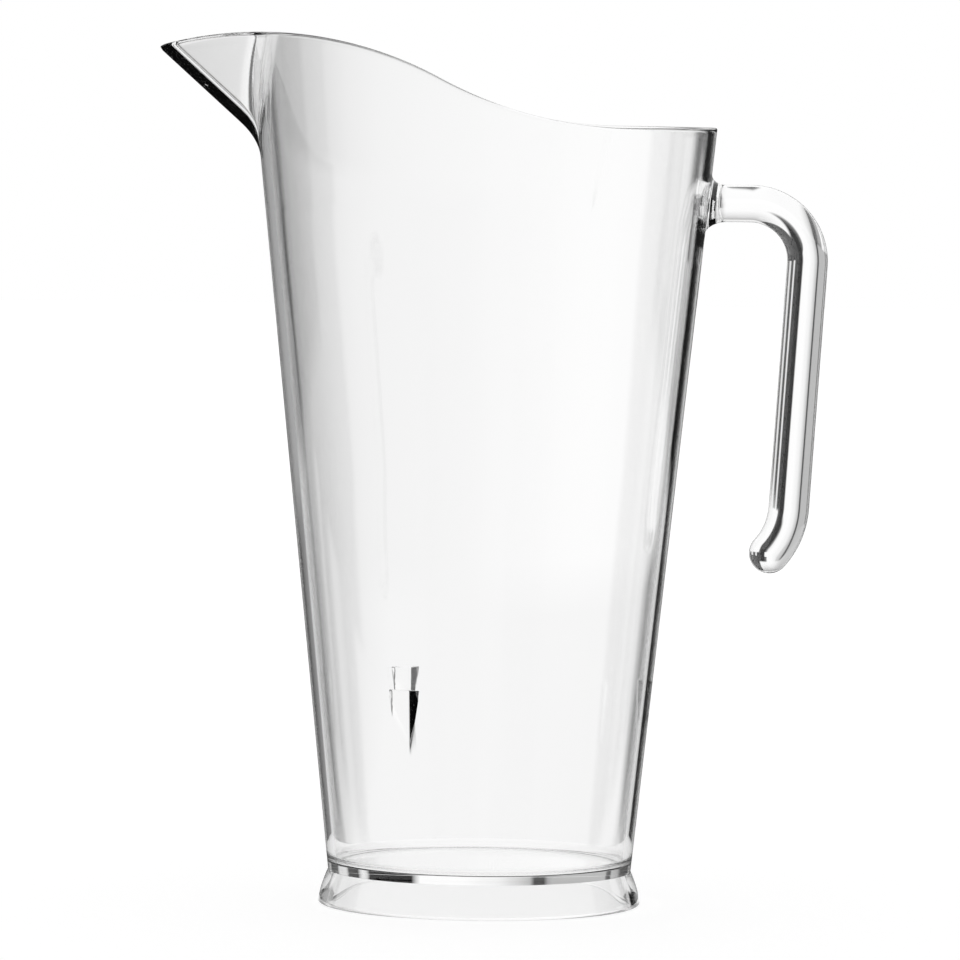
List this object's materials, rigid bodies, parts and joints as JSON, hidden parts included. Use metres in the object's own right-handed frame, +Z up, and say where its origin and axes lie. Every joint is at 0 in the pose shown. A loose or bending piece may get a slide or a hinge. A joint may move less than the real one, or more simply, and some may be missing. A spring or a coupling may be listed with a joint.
{
  "type": "beer pitcher",
  "caption": "Clear tapered drinks pitcher with a swept rim, a beak spout for pouring, an open hook handle, inside stacking ledges and a flared hollow foot.",
  "frame": {"origin": "on the table plane under the foot, at the middle of the plan box; the vessel axis stands 2.3 mm from it towards the spout", "axes": "+Z up along the vessel axis, -X towards the spout tip, +X towards the handle, Y square to the plane that halves spout and handle"},
  "size_m": [0.2072, 0.1438, 0.2694],
  "materials": {
    "clear_polycarbonate": "polished, water-clear"
  },
  "bodies": {
    "root": {"vessel_wall": "clear_polycarbonate", "pouring_spout": "clear_polycarbonate", "vessel_floor": "clear_polycarbonate", "foot_ring": "clear_polycarbonate", "handle_boss": "clear_polycarbonate", "handle_grip": "clear_polycarbonate", "stacking_lug_rear": "clear_polycarbonate", "stacking_lug_left": "clear_polycarbonate", "stacking_lug_right": "clear_polycarbonate"}
  },
  "joints": []
}
